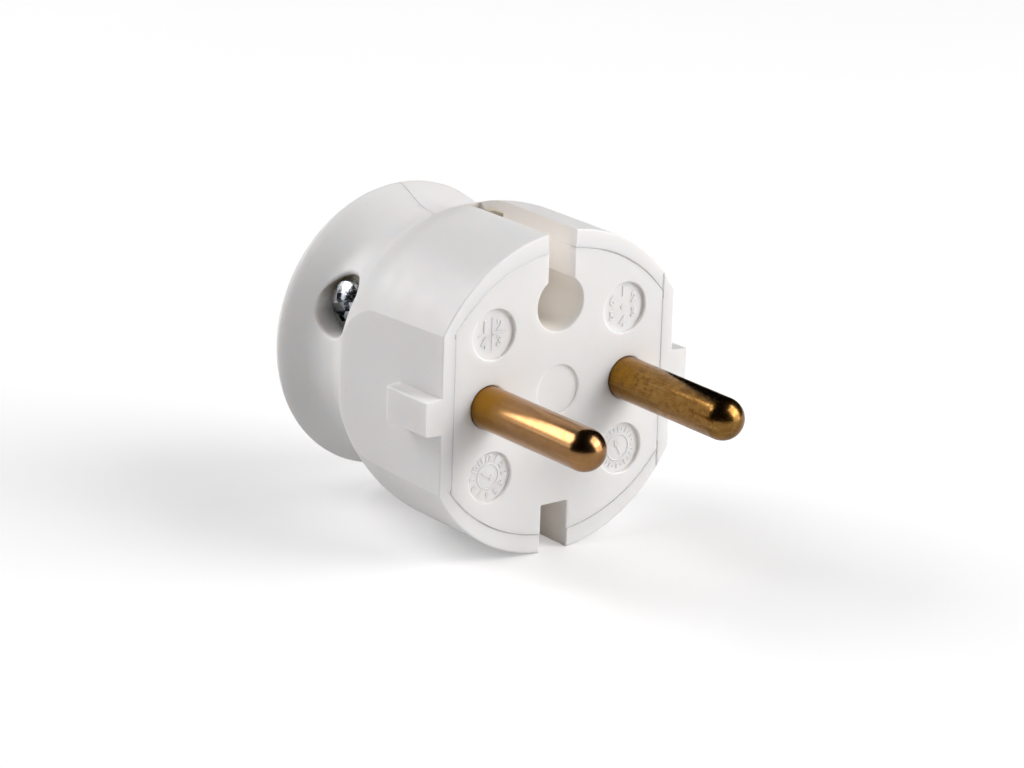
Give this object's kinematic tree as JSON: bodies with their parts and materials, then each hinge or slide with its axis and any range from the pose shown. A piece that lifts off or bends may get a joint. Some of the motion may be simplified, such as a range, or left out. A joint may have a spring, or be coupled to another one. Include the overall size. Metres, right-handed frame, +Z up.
{
  "type": "electric plug",
  "caption": "Short round two-pole mains plug with a keyhole for an earth pin, side flats with guide ribs, finger groove and rear flange, wired by its user.",
  "frame": {"origin": "midway between the two contact pins, in the plane of the engagement face", "axes": "+X to the right as seen from the pins, +Y to the rear (cord side), so the pins point along -Y, +Z up (keyhole side)"},
  "size_m": [0.036, 0.0492, 0.0364],
  "materials": {
    "housing": "white moulded plastic, half gloss",
    "carrier": "white moulded plastic, half gloss",
    "brass": "turned brass, lightly tarnished",
    "zinc_steel": "bright zinc plated"
  },
  "bodies": {
    "root": {"housing_left": "housing", "housing_right": "housing", "pin_carrier": "carrier", "pin_left": "brass", "pin_right": "brass", "terminal_screw_left": "zinc_steel", "terminal_screw_right": "zinc_steel", "cord_clamp": "carrier", "clamp_screw_left": "zinc_steel", "clamp_screw_right": "zinc_steel", "housing_screw": "zinc_steel", "housing_nut": "zinc_steel"}
  },
  "joints": []
}
